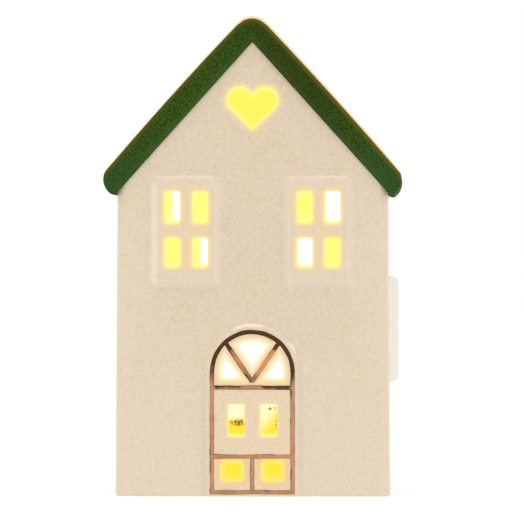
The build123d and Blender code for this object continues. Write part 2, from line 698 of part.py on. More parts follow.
def make_board_screws():
    """The two screws that hold the board to its bosses."""
    slot_width, slot_depth = SCREW_SLOT
    head = extrude(Circle(SCREW_HEAD_DIA / 2), amount=SCREW_HEAD_HEIGHT)
    head = fillet(head.edges().group_by(Axis.Z)[-1], SCREW_HEAD_HEIGHT / 2)
    head -= Pos(0, 0, SCREW_HEAD_HEIGHT) * Box(2 * SCREW_HEAD_DIA, slot_width, 2 * slot_depth)
    shank = Pos(0, 0, -SCREW_LENGTH) * extrude(Circle(SCREW_SHANK_DIA / 2), amount=SCREW_LENGTH)
    screw = head + shank
    return [Pos(side * SCREW_SPREAD / 2, bay_y, board_top) * screw for side in (-1, 1)]


def make_chip():
    """The chip resistor on the board, with its metal ends a little taller than its body."""
    length, width, height = CHIP
    chip = Box(length, width, height, align=(Align.CENTER, Align.CENTER, Align.MIN))
    thin = Box(length - 2 * CHIP_END, 2 * width, height, align=(Align.CENTER, Align.CENTER, Align.MIN))
    chip -= Pos(0, 0, height * 5 / 6) * thin
    return Pos(0, bay_y + BOARD[1] / 2 - CHIP_FROM_EDGE, board_top) * chip


def lead(*points):
    """An insulated lead along straight runs with round bends."""
    path = FilletPolyline(*points, radius=LEAD_BEND_R)
    section = Plane(origin=path @ 0, z_dir=path % 0) * Circle(LEAD_DIA / 2)
    return sweep(section, path=path)


def make_leads():
    """The red and black leads to the board, and the link from the front cell to the switch."""
    lug_x = -bay_length / 2 + CONTACT_THICK + LEAD_DIA / 2
    lug_z = tub_top + LUG_HEIGHT / 4
    high = board_top + LEAD_OVER_BOARD
    pad_x = BOARD[0] / 2 - LEAD_PAD_INSET
    front_row, rear_row = [y for _, y, _ in cell_rows()]
    pad_y = min(rear_row, bay_y + BOARD[1] / 2 - LEAD_PAD_INSET)
    red = lead(
        (lug_x, rear_row, lug_z),
        (lug_x, rear_row, high),
        (-pad_x, pad_y, high),
        (-pad_x, pad_y, board_top),
    )

    lug_top = plate_top + SWITCH_CAN[2] + SWITCH_LUG[2]
    far_lug = SWITCH_X + SWITCH_LUG_PITCH
    black = lead(
        (far_lug, pocket_y, lug_top),
        (far_lug, pocket_y, high),
        (pad_x, pad_y, high),
        (pad_x, pad_y, board_top),
    )

    run_z = tub_top + LEAD_RUN_LIFT
    run_x = lug_x + LEAD_RUN_OUT
    link = lead(
        (lug_x, front_row, lug_z),
        (lug_x, front_row, run_z),
        (run_x, (front_row + rear_row) / 2, run_z),
        (run_x, pocket_y, run_z),
        (SWITCH_X, pocket_y, run_z),
        (SWITCH_X, pocket_y, lug_top),
    )
    return {"red_lead": red, "black_lead": black, "link_lead": link}


def make_parts():
    parts = {
        "house_shell": make_house_shell(),
        "roof": make_roof(),
        "door_lustre": make_door_lustre(),
        **make_films(),
    }
    for name, y, end in cell_rows():
        parts[f"{name}_cell"] = make_cell(y, end)
        parts[f"{name}_cell_spring"] = make_spring(y, end)
    (_, front_row, _), (_, rear_row, _) = cell_rows()
    parts["negative_terminal"] = make_terminal(front_row)
    parts["positive_terminal"] = make_terminal(rear_row)
    parts["cell_bridge"] = make_bridge()
    parts["unit_housing"] = make_unit_housing()
    parts["base_pads"] = Compound(children=make_base_pads())
    parts["battery_door"] = make_battery_door()
    parts["hinge_pin"] = make_hinge_pin()
    parts["switch_body"] = make_switch_body()
    parts["switch_knob"] = make_switch_knob()
    parts["light_board"] = make_board()
    parts["light_leds"] = Compound(children=make_leds())
    parts["board_screws"] = Compound(children=make_board_screws())
    parts["chip_resistor"] = make_chip()
    parts.update(make_leads())
    return parts


os.makedirs("parts", exist_ok=True)
for node, shape in make_parts().items():
    export_step(shape, f"parts/{node}.step")
    print(node, round(shape.volume, 1))
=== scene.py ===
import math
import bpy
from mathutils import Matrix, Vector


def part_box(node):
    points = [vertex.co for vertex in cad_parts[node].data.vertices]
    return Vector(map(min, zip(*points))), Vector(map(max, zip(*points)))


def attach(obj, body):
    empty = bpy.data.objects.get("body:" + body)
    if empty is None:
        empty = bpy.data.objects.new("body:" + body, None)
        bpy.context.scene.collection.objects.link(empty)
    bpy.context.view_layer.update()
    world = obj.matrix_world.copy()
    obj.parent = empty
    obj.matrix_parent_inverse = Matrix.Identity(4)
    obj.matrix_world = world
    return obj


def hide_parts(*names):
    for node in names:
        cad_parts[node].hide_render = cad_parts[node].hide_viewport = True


bl_info = {
    "name": "Ceramic Village House",
    "version": (1, 0, 0),
    "blender": (4, 5, 0),
    "location": "3D View > Sidebar > Village House",
    "description": "Glazes, lights and stages a ceramic village house round its CAD frame",
    "category": "Object",
}

from functools import reduce

import bmesh
import bpy
from bpy.props import FloatProperty, FloatVectorProperty, PointerProperty
from mathutils import Matrix, Vector, noise

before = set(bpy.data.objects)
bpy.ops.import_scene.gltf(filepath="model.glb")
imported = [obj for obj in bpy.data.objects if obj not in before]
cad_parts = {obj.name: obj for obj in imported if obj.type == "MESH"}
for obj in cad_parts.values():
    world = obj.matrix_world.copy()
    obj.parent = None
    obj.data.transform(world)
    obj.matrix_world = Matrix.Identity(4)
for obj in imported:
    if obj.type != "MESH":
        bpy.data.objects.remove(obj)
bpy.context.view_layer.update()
MM = 0.001
FAR = 100.0
BLACK = (0.0, 0.0, 0.0)
WHITE = (1.0, 1.0, 1.0)


# Settings


def linear(red, green, blue):
    """A colour given as 8-bit screen values, as the linear values that shaders take."""
    shares = [value / 255 for value in (red, green, blue)]
    return tuple(s / 12.92 if s < 0.04045 else ((s + 0.055) / 1.055) ** 2.4 for s in shares)


def length(name, description, millimetres):
    return FloatProperty(name=name, description=description, default=millimetres * MM, unit="LENGTH")


def angle(name, description, degrees):
    start = math.radians(degrees)
    return FloatProperty(name=name, description=description, default=start, subtype="ANGLE")


def share(name, description, value):
    return FloatProperty(
        name=name, description=description, default=value, min=0.0, max=2.0, subtype="FACTOR"
    )


def colour(name, description, *screen):
    start = linear(*screen)
    return FloatVectorProperty(
        name=name, description=description, default=start, size=3, min=0.0, max=1.0, subtype="COLOR"
    )


def place(name, description, *millimetres):
    start = [value * MM for value in millimetres]
    return FloatVectorProperty(
        name=name, description=description, default=start, size=3, subtype="TRANSLATION"
    )


def power(name, description, watts):
    return FloatProperty(name=name, description=description, default=watts, min=0.0, unit="POWER")


class OpeningSettings(bpy.types.PropertyGroup):
    """The shapes of the lit openings; their places come from the films behind them."""

    film_margin: length("Film margin", "How far a film reaches past its openings", 1.6)
    slab_width: length("Slab width", "Width of a window's raised slab", 21.0)
    slab_height: length("Slab height", "Height of a window's raised slab", 35.0)
    slab_corner: length("Slab corner", "Corner radius of a window's raised slab", 1.6)
    pane_width: length("Pane width", "Width of one window pane", 5.2)
    upper_pane: length("Upper pane", "Height of a pane in a window's upper row", 10.4)
    lower_pane: length("Lower pane", "Height of a pane in a window's lower row", 9.6)
    pane_corner: length("Pane corner", "Corner radius of a window pane", 1.3)
    cross_bar: length("Cross bar", "Height of the bar between a window's two rows", 4.5)
    heart_lobe: length("Heart lobe", "Radius of one lobe of the heart", 4.35)
    heart_spread: length("Heart spread", "From the heart's middle line to the middle of a lobe", 4.0)
    heart_drop: length("Heart drop", "From the middle of the lobes down to the sharp tip", 9.8)
    door_radius: length("Door radius", "Radius of the outside of the arched line", 13.6)
    spring_height: length("Spring height", "Height of the arch's centre above the table", 39.7)
    fan_inset: length("Fan inset", "From the outside of the arch to the fanlight openings", 3.7)
    fan_bar: length("Fan bar", "Width of the ceramic between two fanlight openings", 5.4)
    fan_point: length("Fan point", "Height where the slanting bars meet", 36.7)
    fan_sill: length("Fan sill", "Height of the bottom of the outer fanlight openings", 37.4)
    fan_spread: angle("Fan spread", "Angle between the two slanting bars", 69.0)
    door_pane_width: length("Door pane width", "Width of a pane in the middle of the door", 5.3)
    door_pane_height: length("Door pane height", "Height of a pane in the middle of the door", 10.4)
    door_pane_corner: length("Door pane corner", "Corner radius of a door pane", 0.8)
    panel_width: length("Panel width", "Width of an opening in the door's bottom panels", 6.8)
    panel_height: length("Panel height", "Height of an opening in the door's bottom panels", 6.2)
    panel_corner: length("Panel corner", "Corner radius of a panel opening", 1.2)


class GlazeSettings(bpy.types.PropertyGroup):
    """The two glazes, and the glow that the light inside gives the clay round each opening."""

    cream: colour("Cream", "The cream glaze of the walls", 227, 210, 181)
    blush: colour("Blush", "Faint pink clouds in the cream glaze", 232, 210, 190)
    straw: colour("Straw", "Faint yellow clouds in the cream glaze", 225, 209, 173)
    bisque: colour("Bisque", "Bare clay on the foot of the walls", 226, 214, 196)
    # Besides the fine specks, this colour is a painted shade along the front windows' upper slopes.
    speckle_and_shade: colour("Speckle", "Fine specks in the cream glaze", 216, 199, 170)
    # Paler cream: low on the walls, towards their sides, on the front window slabs and in fine flecks.
    pale: colour("Pale cream", "Thinner glaze low on the walls and on the windows", 235, 219, 192)
    # Painted reflection: near white paint on the side windows' slopes stands for the white they reflect.
    edge: colour("Edge", "Glaze breaking white on the edges of a side window", 255, 250, 244)
    # Painted highlight: pale paint on the front windows' slopes stands for their highlights and lifts their
    # shade.
    slab_highlight: colour("Slab edge", "Glaze breaking on the slopes of a front window", 251, 234, 216)
    warm: colour("Warm clay", "Clay of the raised door, lit a little all over", 243, 217, 183)
    glow: colour("Glow", "Clay lit through, right beside a pane", 250, 229, 152)
    glow_far: colour("Far glow", "Clay lit through, farther from a pane", 247, 216, 170)
    fan_glow: colour("Fan glow", "Clay lit through, right beside the fanlight", 255, 246, 206)
    fan_glow_far: colour("Far fan glow", "Clay lit through, farther from the fanlight", 250, 214, 163)
    panel_glow: colour("Panel glow", "Clay lit through, right beside a door panel", 254, 224, 132)
    panel_glow_far: colour("Far panel glow", "Clay lit through, farther from a door panel", 248, 205, 148)
    window_reach: length("Window reach", "How far the glow of a window pane spreads", 2.4)
    heart_reach: length("Heart reach", "How far the glow of the heart spreads", 2.4)
    fan_reach: length("Fan reach", "How far the glow of the fanlight spreads", 4.0)
    pane_reach: length("Pane reach", "How far the glow of a door pane spreads", 1.5)
    panel_reach: length("Panel reach", "How far the glow of a door panel spreads", 3.0)
    near_share: share("Near share", "Share of a glow's reach that is brightest, beside the opening", 0.5)
    roof_pitch: angle("Roof pitch", "Slope of the roof's underside", 48.0)
    roof_thickness: length("Roof thickness", "From underside to top, at the ridge and the eaves", 7.4)
    roof_bow: length("Roof bow", "How far the top of a slope bows out halfway down", 0.65)
    ridge_radius: length("Ridge radius", "Radius of the rounded ridge", 6.2)
    # Painted highlight: the rim is a pale line that stands for the highlight on the roof's outer edge.
    rim_highlight_width: length("Rim width", "Width of the bare rim on the left slope's edge", 0.5)
    rim_highlight_spread: length("Rim spread", "How much wider the bare rim is on the right slope's edge", 0.25)
    green: colour("Green", "The green glaze of the roof", 64, 90, 16)
    deep_green: colour("Deep green", "Thick pools of the green glaze", 27, 52, 1)
    thin_green: colour("Thin green", "Green glaze where it runs thin along the walls", 66, 94, 36)
    cool_green: colour("Cool green", "Green glaze where it runs thick towards the eaves", 46, 84, 42)
    moss: colour("Moss", "Browner green on the right slope's end", 44, 50, 0)
    olive: colour("Olive", "Green glaze breaking to brown on the outer edges", 104, 88, 20)
    # Painted highlight: this pale cream stands for the highlight on the roof's sharpest edge.
    rim: colour("Rim", "Clay showing through on the sharpest edge", 240, 222, 176)


class LustreSettings(bpy.types.PropertyGroup):
    """The lines brushed on the door in metal lustre."""

    width: length("Line width", "Width of a brushed line", 1.4)
    thickness: length("Line thickness", "Thickness of a line at its middle", 0.16)
    wander: length("Wander", "How far the brush wanders sideways", 0.12)
    rail_drop: length("Rail drop", "From the point of the fanlight's bars down to the rail under them", 1.9)
    lock_rail: length("Lock rail", "Height of the rail over the bottom panels", 12.8)
    copper: colour("Copper", "Bright lustre", 200, 148, 108)
    rose: colour("Rose", "Thin pinkish lustre", 204, 143, 108)
    tan: colour("Tan", "Dull lustre", 180, 136, 96)
    amber: colour("Amber", "Thin orange lustre", 220, 152, 84)
    # Also painted on the arch as a painted reflection of dark surroundings.
    umber: colour("Umber", "Thick dark lustre", 74, 45, 12)


class LightSettings(bpy.types.PropertyGroup):
    """The films behind the openings, lit from inside."""

    yellow: colour("Yellow", "Film in a window pane", 254, 254, 122)
    pale: colour("Pale", "Film beside the edge of an opening", 255, 249, 160)
    white: colour("White", "Bare light beside a film's printed cell", 255, 255, 255)
    heart: colour("Heart", "Film behind the heart", 255, 245, 94)
    cream: colour("Cream light", "Edge of the fanlight's white light", 255, 236, 160)
    gold: colour("Gold", "Film low in the door", 254, 232, 60)
    amber: colour("Amber light", "Edge of the light in the door's bottom panels", 255, 234, 122)
    straw: colour("Straw light", "Film high in the door's panes", 255, 254, 205)
    # Painted shadows: these two colours stand for the shadows of wires and of a lamp base on the door's
    # film.
    shade: colour("Shade", "Wire that shows through the door's film", 150, 126, 20)
    lamp_base_shade: colour("Rust", "Lamp base that shows through the door's film", 170, 84, 10)
    strength: share("Strength", "How bright the films are; 1 shows a colour as written", 1.0)


class UnitSettings(bpy.types.PropertyGroup):
    """The finishes of the light unit in the foot of the house."""

    plastic: colour("White plastic", "Housing and battery door", 233, 230, 222)
    knob: colour("Black plastic", "Switch knob", 34, 34, 35)
    steel: colour("Steel", "Contacts, pin, screws and switch can", 196, 194, 188)
    silicone: colour("Silicone", "Soft pads", 214, 216, 212)
    sleeve: colour("Cell sleeve", "Body of the cells", 92, 104, 112)
    sleeve_band: colour("Cell band", "Ring at the cells' positive end", 214, 206, 178)
    board: colour("Board", "Solder mask of the light board", 26, 92, 58)
    trace: colour("Trace", "Copper runs under the solder mask", 44, 122, 78)
    epoxy: colour("Epoxy", "Lamp bodies", 255, 226, 150)
    red: colour("Red lead", "Insulation of the red lead", 176, 32, 26)
    black: colour("Black lead", "Insulation of the dark leads", 30, 30, 31)


class StageSettings(bpy.types.PropertyGroup):
    """The floor, the lamps and the camera."""

    floor: colour("Floor", "The pale floor", 188, 188, 188)
    floor_light: share("Floor light", "Light added to the floor, so that it shows white", 0.56)
    floor_drop: length("Floor drop", "Gap under the foot, so that no two faces meet", 0.1)
    floor_size: length("Floor size", "Half the width of the floor", 6000.0)
    ambient: share("Ambient", "Strength of the light all round", 0.945)
    key_power: power("Key power", "Strip lamp high over the front", 3.8)
    key_place: place("Key place", "Where the strip lamp hangs", -200.0, -340.0, 1700.0)
    key_aim: place("Key aim", "The point that the strip lamp faces", -200.0, -36.0, 75.0)
    key_width: length("Key width", "Width of the strip lamp", 1150.0)
    key_height: length("Key height", "Depth of the strip lamp", 170.0)
    fill_power: power("Fill power", "Soft lamp at the right of the front", 1.4)
    fill_place: place("Fill place", "Where the soft lamp hangs", 1700.0, -380.0, 1020.0)
    fill_aim: place("Fill aim", "The point that the soft lamp faces", 0.0, -36.0, 75.0)
    fill_width: length("Fill width", "Width of the soft lamp", 200.0)
    fill_height: length("Fill height", "Height of the soft lamp", 260.0)
    camera_place: place("Camera place", "Where the camera stands", 52.0, -1536.0, 75.0)
    camera_aim: place("Camera aim", "The point in the middle of the picture", 3.1, -36.0, 75.0)
    view_width: length("View width", "Width that the picture takes in at the aim", 167.7)


class HouseSettings(bpy.types.PropertyGroup):
    """All the settings of the village house."""

    openings: PointerProperty(type=OpeningSettings)
    glaze: PointerProperty(type=GlazeSettings)
    lustre: PointerProperty(type=LustreSettings)
    light: PointerProperty(type=LightSettings)
    unit: PointerProperty(type=UnitSettings)
    stage: PointerProperty(type=StageSettings)


# Node graphs


def worked(operation, swapped=False):
    """How a field and a number, or two fields, work together."""

    def work(self, other):
        pair = (other, self) if swapped else (self, other)
        return self.graph.math(operation, *pair)

    return work


class Field:
    """A number that changes over a surface: a socket that adds, scales and compares like a number."""

    def __init__(self, graph, socket):
        self.graph = graph
        self.socket = socket

    __add__ = worked("ADD")
    __radd__ = worked("ADD", swapped=True)
    __sub__ = worked("SUBTRACT")
    __rsub__ = worked("SUBTRACT", swapped=True)
    __mul__ = worked("MULTIPLY")
    __rmul__ = worked("MULTIPLY", swapped=True)

    def __neg__(self):
        return self.graph.math("MULTIPLY", self, -1.0)

    def __abs__(self):
        return self.graph.math("ABSOLUTE", self)

    def sign(self):
        return self.graph.math("SIGN", self)

    def least(self, *others):
        return reduce(worked("MINIMUM"), others, self)

    def most(self, *others):
        return reduce(worked("MAXIMUM"), others, self)

    def fade(self, start, end):
        """0 up to start, 1 from end on, and smooth between them."""
        node = self.graph.node("ShaderNodeMapRange", interpolation_type="SMOOTHSTEP")
        for name, value in (("Value", self), ("From Min", start), ("From Max", end)):
            self.graph.feed(node.inputs[name], value)
        return Field(self.graph, node.outputs["Result"])


class Nodes:
    """The nodes of a material or a world."""

    def __init__(self, owner):
        owner.use_nodes = True
        self.tree = owner.node_tree
        self.tree.nodes.clear()

    def node(self, kind, *inputs, **settings):
        """A new node with its first inputs fed."""
        made = self.tree.nodes.new(kind)
        for name, value in settings.items():
            setattr(made, name, value)
        for socket, value in zip(made.inputs, inputs):
            self.feed(socket, value)
        return made

    def feed(self, socket, value):
        """Wires a socket to a field or another socket, or sets its own value."""
        if isinstance(value, Field):
            value = value.socket
        if isinstance(value, bpy.types.NodeSocket):
            self.tree.links.new(value, socket)
        elif socket.type == "RGBA":
            socket.default_value = (*value, 1.0)
        else:
            socket.default_value = value

    def math(self, operation, *values):
        made = self.node("ShaderNodeMath", *values, operation=operation)
        return Field(self, made.outputs["Value"])


class Graph(Nodes):
    """A material's nodes round one Principled shader, with places in millimetres."""

    def __init__(self, name):
        self.material = bpy.data.materials.new(name)
        super().__init__(self.material)
        self.shader = self.node("ShaderNodeBsdfPrincipled")
        self.node("ShaderNodeOutputMaterial", self.shader.outputs["BSDF"])
        where = self.node("ShaderNodeTexCoord").outputs["Object"]
        scaled = self.node("ShaderNodeVectorMath", where, operation="SCALE")
        scaled.inputs["Scale"].default_value = 1 / MM
        self.place = scaled.outputs["Vector"]
        parts = self.node("ShaderNodeSeparateXYZ", self.place)
        self.x, self.y, self.z = (Field(self, socket) for socket in parts.outputs)

    def made(self, **values):
        """The material, once the shader's sockets are set, named with underscores for spaces."""
        for name, value in values.items():
            socket = name.replace("_", " ").title().replace("Ior", "IOR")
            self.feed(self.shader.inputs[socket], value)
        return self.material

    def reach(self, across, up):
        """The length of a step across and up."""
        joined = self.node("ShaderNodeCombineXYZ", across, up).outputs["Vector"]
        made = self.node("ShaderNodeVectorMath", joined, operation="LENGTH")
        return Field(self, made.outputs["Value"])

    def cloud(self, size, detail=2.0, stretch=(1.0, 1.0, 1.0), where=None):
        """Noise about 0.5, with clouds of that size in millimetres."""
        mapping = self.node("ShaderNodeMapping", where or self.place)
        mapping.inputs["Scale"].default_value = [1 / (size * s) for s in stretch]
        made = self.node("ShaderNodeTexNoise", mapping.outputs["Vector"])
        made.inputs["Scale"].default_value = 1.0
        made.inputs["Detail"].default_value = detail
        return Field(self, made.outputs[0])

    def blend(self, factor, first, second):
        """One colour turning into another as the factor goes from 0 to 1."""
        made = self.node("ShaderNodeMix", data_type="RGBA")
        self.feed(made.inputs[0], factor)
        self.feed(made.inputs[6], first)
        self.feed(made.inputs[7], second)
        return made.outputs[2]

    def bump(self, height, depth):
        """Bumps the surface by a field times a depth in millimetres."""
        made = self.node("ShaderNodeBump")
        made.inputs["Strength"].default_value = 1.0
        made.inputs["Distance"].default_value = depth * MM
        self.feed(made.inputs["Height"], height)
        self.tree.links.new(made.outputs["Normal"], self.shader.inputs["Normal"])


# Distances to the openings, in millimetres: negative inside an opening


def middle(node):
    """The middle of a CAD node's box, in millimetres."""
    low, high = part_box(node)
    return (low + high) / 2 / MM


def window_middle(film, openings):
    """The crossing of a window's bars, from the film behind it, in millimetres."""
    low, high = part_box(film)
    crossing = (low + high) / 2
    crossing.z = high.z - openings.film_margin - openings.upper_pane - openings.cross_bar / 2
    return crossing / MM


def rounded_box(graph, across, up, width, height, corner):
    """Distance to a rounded box about the origin of across and up; its height may be a field."""
    beside = abs(across) - (width / 2 - corner)
    above = abs(up) - (height * 0.5 - corner)
    outside = graph.reach(beside.most(0.0), above.most(0.0))
    return outside + beside.most(above).least(0.0) - corner


def in_pane(across, up, openings):
    """A place on a four-pane window from the middle of the nearest pane, and that pane's height."""
    low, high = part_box("left_window_film")
    pitch = (high.x - low.x - 2 * openings.film_margin - openings.pane_width) / MM
    lower = openings.lower_pane / MM
    height = up.fade(-0.01, 0.01) * (openings.upper_pane / MM - lower) + lower
    row = up.sign() * (height + openings.cross_bar / MM) * 0.5
    return across - across.sign() * (pitch / 2), up - row, height


def pane_distance(graph, across, up, openings):
    """Distance to the nearest of a window's four panes."""
    beside, above, height = in_pane(across, up, openings)
    return rounded_box(graph, beside, above, openings.pane_width / MM, height, openings.pane_corner / MM)


def heart_distance(graph, openings):
    """Distance to the heart: two round lobes, and sides that leave them as tangents."""
    lobe, spread, drop = (v / MM for v in (openings.heart_lobe, openings.heart_spread, openings.heart_drop))
    base = (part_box("heart_film")[1].z - openings.film_margin) / MM - lobe
    across = abs(graph.x)
    up = graph.z - base
    beside = across - spread
    angle = math.atan2(-drop, -spread) + math.acos(lobe / math.hypot(spread, drop))
    out = Vector((math.cos(angle), math.sin(angle)))
    notch = math.sqrt(lobe**2 - spread**2)

    # The straight side holds from the tip up to where it meets the lobe.
    along = across * -out.y + (up + drop) * out.x
    run = math.sqrt(spread**2 + drop**2 - lobe**2)
    side = across * out.x + (up + drop) * out.y
    tip = graph.reach(across, up + drop)
    side = side + (tip - side) * along.fade(0.01, -0.01) - along.fade(run - 0.01, run + 0.01) * FAR

    # The lobe's arc holds from there, over its top, to the notch.
    past_notch = (up * -spread - beside * notch).fade(-0.01, 0.01)
    before_side = (beside * out.y - up * out.x).fade(-0.01, 0.01)
    arc = graph.reach(beside, up) - lobe - past_notch * before_side * FAR
    return side.most(arc, -graph.reach(across, up - notch))


def fan_distance(graph, openings):
    """Distance to the nearest of the three fanlight openings."""
    half_bar = openings.fan_bar / 2 / MM
    lean = openings.fan_spread / 2
    disc = graph.reach(graph.x, graph.z - openings.spring_height / MM)
    disc = disc - (openings.door_radius - openings.fan_inset) / MM
    off_bar = abs(graph.x) * math.cos(lean) - (graph.z - openings.fan_point / MM) * math.sin(lean)
    centre = disc.most(off_bar + half_bar)
    outer = disc.most(half_bar - off_bar, openings.fan_sill / MM - graph.z)
    return centre.least(outer)


def door_pane_distance(graph, openings):
    """Distance to the nearer of the door's two tall panes."""
    sizes = (openings.door_pane_width, openings.door_pane_height, openings.door_pane_corner)
    return pair_distance(graph, "door_pane_film", openings, sizes)


def panel_distance(graph, openings):
    """Distance to the nearer of the openings in the door's bottom panels."""
    sizes = (openings.panel_width, openings.panel_height, openings.panel_corner)
    return pair_distance(graph, "door_panel_film", openings, sizes)


def pair_distance(graph, film, openings, sizes):
    """Distance to the nearer of two rounded boxes that share a film."""
    low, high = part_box(film)
    across = abs(graph.x) - (high.x - openings.film_margin - sizes[0] / 2) / MM
    up = graph.z - (low.z + high.z) / 2 / MM
    return rounded_box(graph, across, up, *(size / MM for size in sizes))


def pane_block_distance(graph, across, up, openings):
    """Distance to the block that holds a window's four panes and the bars between them."""
    low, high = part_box("left_window_film")
    width = (high.x - low.x - 2 * openings.film_margin) / MM
    height = (openings.upper_pane + openings.lower_pane + openings.cross_bar) / MM
    middle_up = (openings.upper_pane - openings.lower_pane) / 2 / MM
    return rounded_box(graph, across, up - middle_up, width, height, openings.pane_corner / MM)


def slab_distance(graph, across, up, openings):
    """Distance to the raised slab of a window."""
    sizes = (openings.slab_width, openings.slab_height, openings.slab_corner)
    return rounded_box(graph, across, up, *(size / MM for size in sizes))


def door_distance(graph, openings):
    """Distance to the outside of the door's arched line."""
    over_spring = (graph.z - openings.spring_height / MM).most(0.0)
    return graph.reach(graph.x, over_spring) - openings.door_radius / MM


# Ceramic


def cream_glaze(settings):
    """Cream glaze on thin clay: faint clouds, soft waves, a bare foot, and a glow round the openings."""
    glaze = settings.glaze
    openings = settings.openings
    graph = Graph("cream_glaze")
    tint = graph.blend(graph.cloud(16.0, 3.0).fade(0.48, 0.68), glaze.cream, glaze.blush)
    tint = graph.blend(graph.cloud(10.0, 3.0, (1.0, 1.0, 0.8)).fade(0.5, 0.7), tint, glaze.straw)
    front = middle("left_window_film").y
    in_front = graph.y.fade(front + 1.0, front)
    side = window_middle("right_side_window_film", openings)
    in_side = abs(graph.x).fade(side.x - 1.0, side.x)
    window = window_middle("right_window_film", openings)
    on_front = (abs(graph.x) - window.x, graph.z - window.z)
    on_side = (graph.y, graph.z - side.z)
    front_slab = slab_distance(graph, *on_front, openings)
    side_slab = slab_distance(graph, *on_side, openings)
    # Paler towards the foot, towards the sides and on the front window slabs.
    low = graph.z.fade(80.0, 12.0)
    outer = abs(graph.x).fade(20.0, 40.0) * 0.8
    tint = graph.blend(low.most(outer, front_slab.fade(0.6, -3.0) * in_front) * 0.75, tint, glaze.pale)
    door_edge = door_distance(graph, openings)
    tint = graph.blend(door_edge.fade(0.4, -1.4) * in_front * 0.85, tint, glaze.warm)
    bars = pane_block_distance(graph, *on_front, openings).fade(0.6, -0.8) * in_front
    side_bars = pane_block_distance(graph, *on_side, openings).fade(0.6, -0.8) * in_side
    tint = graph.blend(bars.most(side_bars) * 0.6, tint, glaze.glow_far)
    grain = graph.cloud(0.7, 3.0)
    tint = graph.blend(grain.fade(0.5, 0.75) * 0.7, tint, glaze.speckle_and_shade)
    tint = graph.blend(grain.fade(0.54, 0.3) * 0.85, tint, glaze.pale)
    tint = graph.blend(graph.cloud(1.1).fade(0.48, 0.66) * 0.6, tint, glaze.blush)

    # Painted highlight: the slabs' slopes are painted pale to stand for highlights and to lift their shade,
    # least on their tops and most on the left window's outer slope.
    slab_top = openings.slab_height / 2 / MM
    left_edge = -(window.x + openings.slab_width / 2 / MM)
    slope_light = graph.x.fade(left_edge + 2.2, left_edge + 0.2) * 0.5 + 0.25
    slope_light = on_front[1].fade(slab_top, slab_top - 3.5) * slope_light + 0.1
    slope = abs(front_slab + 0.4).fade(1.8, 0.2) * in_front
    tint = graph.blend(slope * slope_light, tint, glaze.slab_highlight)
    # Painted reflection: the side windows' slopes are painted near white.
    tint = graph.blend(abs(side_slab + 0.6).fade(2.0, 1.0) * in_side * 0.9, tint, glaze.edge)

    # A dull line along the slabs' upper slopes and the arch keeps their highlights faint; on the slabs it
    # is also a painted shade, darker paint over the highlight.
    half_slope = 0.7
    upper = on_front[1].fade(slab_top - 2.0, slab_top - 0.5) * in_front
    slab_line = abs(front_slab + half_slope).fade(0.26, 0.1)
    door_line = abs(door_edge + half_slope).fade(0.26, 0.1)
    on_door_slope = door_edge.fade(-1.6, -1.2) * in_front
    tint = graph.blend(slab_line * upper * 0.8, tint, glaze.speckle_and_shade)
    dull = ((slab_line * 0.3 + 0.05) * upper).most((door_line * 0.3 + 0.06) * on_door_slope)
    foot = graph.z.fade(0.7, 0.15)
    tint = graph.blend(foot, tint, glaze.bisque)

    plain = (glaze.glow_far, glaze.glow)
    sill = openings.fan_sill / MM
    fan_glow = graph.blend(graph.z.fade(sill + 2.0, sill - 2.0), glaze.fan_glow, glaze.glow)
    panel_gap = panel_distance(graph, openings)
    panel_glow = graph.blend(panel_gap.fade(0.6, 0.0), glaze.panel_glow, settings.light.amber)
    glows = [
        (pane_distance(graph, *on_front, openings), glaze.window_reach, in_front, plain),
        (pane_distance(graph, *on_side, openings), glaze.window_reach, in_side, plain),
        (heart_distance(graph, openings), glaze.heart_reach, in_front, plain),
        (door_pane_distance(graph, openings), glaze.pane_reach, in_front, plain),
        (fan_distance(graph, openings), glaze.fan_reach, in_front, (glaze.fan_glow_far, fan_glow)),
        (panel_gap, glaze.panel_reach, in_front, (glaze.panel_glow_far, panel_glow)),
    ]
    through = []
    for gap, reach, in_wall, (far, near) in glows:
        tint = graph.blend(gap.fade(reach / MM, 0.0) * in_wall * 0.95, tint, far)
        beside = gap.fade(reach / MM * glaze.near_share, 0.0) * in_wall
        tint = graph.blend(beside, tint, near)
        through.append(beside)
    lit = through[0].most(*through[1:])
    waves = graph.cloud(14.0, 1.0) + graph.cloud(2.2, 1.0) * 0.12
    graph.bump(waves, 0.35)
    return graph.made(
        base_color=graph.blend(lit * 0.95, tint, BLACK),
        emission_color=graph.blend(lit * 0.92, BLACK, tint),
        emission_strength=1.0,
        roughness=graph.cloud(8.0) * 0.1 + foot * 0.4 + lit * 0.6 + dull + 0.05,
        subsurface_weight=0.3,
        subsurface_radius=(1.0, 0.8, 0.55),
        subsurface_scale=1.2 * MM,
    )


def roof_depth(graph, glaze, above, ridge):
    """Depth under the top of the roof, round over its ridge; above is the height over its underside."""
    pitch = glaze.roof_pitch
    thickness, bow, radius = (v / MM for v in (glaze.roof_thickness, glaze.roof_bow, glaze.ridge_radius))
    start = -thickness * math.tan(pitch)
    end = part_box("roof")[1].x / MM / math.cos(pitch)
    down = abs(graph.x) * math.cos(pitch) - (graph.z - ridge) * math.sin(pitch)
    share = (down - (start + end) / 2) * (2 / (end - start))
    under_slope = thickness + bow * (1.0 - share * share) - above
    centre = ridge + (thickness - radius) / math.cos(pitch)
    under_ridge = radius - graph.reach(graph.x, graph.z - centre)
    over_ridge = ((graph.z - centre) * math.tan(pitch) - abs(graph.x)).fade(-0.3, 0.3)
    return under_slope + (under_ridge - under_slope) * over_ridge


